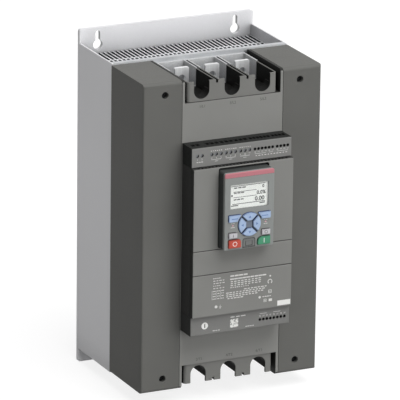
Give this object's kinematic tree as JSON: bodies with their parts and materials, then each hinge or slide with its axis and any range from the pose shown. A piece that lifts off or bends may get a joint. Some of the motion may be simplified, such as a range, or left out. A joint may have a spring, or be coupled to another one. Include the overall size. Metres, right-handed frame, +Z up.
{
  "type": "soft starter",
  "caption": "Wall-hung motor soft starter: finned heat sink, moulded covers, open terminal pockets at both ends and a control module with a pull-off keypad.",
  "frame": {"origin": "middle of the back plate's rear face, on the wall", "axes": "+X right seen from the front, +Y into the wall, +Z up"},
  "size_m": [0.254, 0.2654, 0.462],
  "materials": {
    "chassis_sheet": "satin powder coat, light grey",
    "heat_sink": "extruded, natural",
    "fan_plastic": "moulded, black",
    "cover_plastic": "moulded, dark grey",
    "panel_plastic": "moulded, mid grey",
    "insulator_plastic": "moulded, pale grey",
    "tinned_bar": "tinned copper bar",
    "power_module": "moulded, black",
    "contactor_plastic": "moulded, black",
    "transformer_resin": "cast resin",
    "board": "fibreglass board, green",
    "pillar_metal": "plated",
    "screw_metal": "zinc plated",
    "case_plastic": "moulded, charcoal",
    "keypad_dark": "moulded, charcoal",
    "keypad_bezel": "moulded, grey",
    "accent_red": "moulded, red",
    "display_white": "display glass",
    "window_clear": "clear acrylic",
    "lamp_clear": "light pipe",
    "key_blue": "silicone, light blue",
    "key_grey": "silicone, pale grey",
    "key_red": "silicone, red",
    "key_green": "silicone, green"
  },
  "bodies": {
    "chassis": {"back_plate": "chassis_sheet", "left_side_panel": "chassis_sheet", "right_side_panel": "chassis_sheet", "heat_sink_base": "heat_sink", "heat_sink_fins": "heat_sink", "fan_tray": "chassis_sheet", "fan_frames": "fan_plastic", "left_cover": "cover_plastic", "right_cover": "cover_plastic", "centre_panel": "panel_plastic", "cover_screws": "screw_metal", "top_shroud": "panel_plastic", "bottom_shroud": "panel_plastic", "top_insulator": "insulator_plastic", "bottom_insulator": "insulator_plastic", "power_board": "board", "board_pillars": "pillar_metal", "control_case": "case_plastic", "control_board": "board", "terminal_strip": "panel_plastic", "lower_strip": "panel_plastic", "terminal_screws": "screw_metal", "upper_cover": "panel_plastic", "slot_cover": "panel_plastic", "lower_cover": "panel_plastic", "line_bar_1": "tinned_bar", "load_bar_1": "tinned_bar", "thyristor_module_1": "power_module", "bypass_contactor_1": "contactor_plastic", "current_transformer_1": "transformer_resin", "line_bar_2": "tinned_bar", "load_bar_2": "tinned_bar", "thyristor_module_2": "power_module", "bypass_contactor_2": "contactor_plastic", "current_transformer_2": "transformer_resin", "line_bar_3": "tinned_bar", "load_bar_3": "tinned_bar", "thyristor_module_3": "power_module", "bypass_contactor_3": "contactor_plastic", "current_transformer_3": "transformer_resin"},
    "keypad": {"keypad_case": "keypad_dark", "keypad_front": "keypad_bezel", "keypad_board": "board", "display_panel": "display_white", "display_window": "window_clear", "accent_strip": "accent_red", "status_lamps": "lamp_clear"},
    "port_cover": {"port_cover": "keypad_bezel"},
    "fan_rotor_left": {"fan_rotor_left": "fan_plastic"},
    "fan_rotor_right": {"fan_rotor_right": "fan_plastic"},
    "soft_key_left": {"soft_key_left": "key_blue"},
    "soft_key_right": {"soft_key_right": "key_blue"},
    "nav_key_right": {"nav_key_right": "key_blue"},
    "nav_key_up": {"nav_key_up": "key_blue"},
    "nav_key_left": {"nav_key_left": "key_blue"},
    "nav_key_down": {"nav_key_down": "key_blue"},
    "info_key": {"info_key": "key_grey"},
    "mode_key": {"mode_key": "key_grey"},
    "stop_key": {"stop_key": "key_red"},
    "start_key": {"start_key": "key_green"}
  },
  "joints": [
    {"name": "keypad_pull", "type": "slide", "parent": "chassis", "child": "keypad", "axis": [0, -1, 0], "range_m": [0, 0.025]},
    {"name": "soft_key_left_press", "type": "slide", "parent": "keypad", "child": "soft_key_left", "axis": [0, 1, 0], "range_m": [0, 0.001], "stiffness_N_per_m": 900},
    {"name": "soft_key_right_press", "type": "slide", "parent": "keypad", "child": "soft_key_right", "axis": [0, 1, 0], "range_m": [0, 0.001], "stiffness_N_per_m": 900},
    {"name": "nav_key_right_press", "type": "slide", "parent": "keypad", "child": "nav_key_right", "axis": [0, 1, 0], "range_m": [0, 0.001], "stiffness_N_per_m": 900},
    {"name": "nav_key_up_press", "type": "slide", "parent": "keypad", "child": "nav_key_up", "axis": [0, 1, 0], "range_m": [0, 0.001], "stiffness_N_per_m": 900},
    {"name": "nav_key_left_press", "type": "slide", "parent": "keypad", "child": "nav_key_left", "axis": [0, 1, 0], "range_m": [0, 0.001], "stiffness_N_per_m": 900},
    {"name": "nav_key_down_press", "type": "slide", "parent": "keypad", "child": "nav_key_down", "axis": [0, 1, 0], "range_m": [0, 0.001], "stiffness_N_per_m": 900},
    {"name": "info_key_press", "type": "slide", "parent": "keypad", "child": "info_key", "axis": [0, 1, 0], "range_m": [0, 0.001], "stiffness_N_per_m": 900},
    {"name": "mode_key_press", "type": "slide", "parent": "keypad", "child": "mode_key", "axis": [0, 1, 0], "range_m": [0, 0.001], "stiffness_N_per_m": 900},
    {"name": "stop_key_press", "type": "slide", "parent": "keypad", "child": "stop_key", "axis": [0, 1, 0], "range_m": [0, 0.001], "stiffness_N_per_m": 900},
    {"name": "start_key_press", "type": "slide", "parent": "keypad", "child": "start_key", "axis": [0, 1, 0], "range_m": [0, 0.001], "stiffness_N_per_m": 900},
    {"name": "fan_spin_left", "type": "hinge", "parent": "chassis", "child": "fan_rotor_left", "pos_m": [-0.052, -0.05375, -0.2], "axis": [0, 0, 1], "continuous": true},
    {"name": "fan_spin_right", "type": "hinge", "parent": "chassis", "child": "fan_rotor_right", "pos_m": [0.052, -0.05375, -0.2], "axis": [0, 0, 1], "continuous": true},
    {"name": "port_cover_hinge", "type": "hinge", "parent": "keypad", "child": "port_cover", "pos_m": [0, -0.262, -0.0063], "axis": [1, 0, 0], "range_deg": [0, 90]}
  ]
}
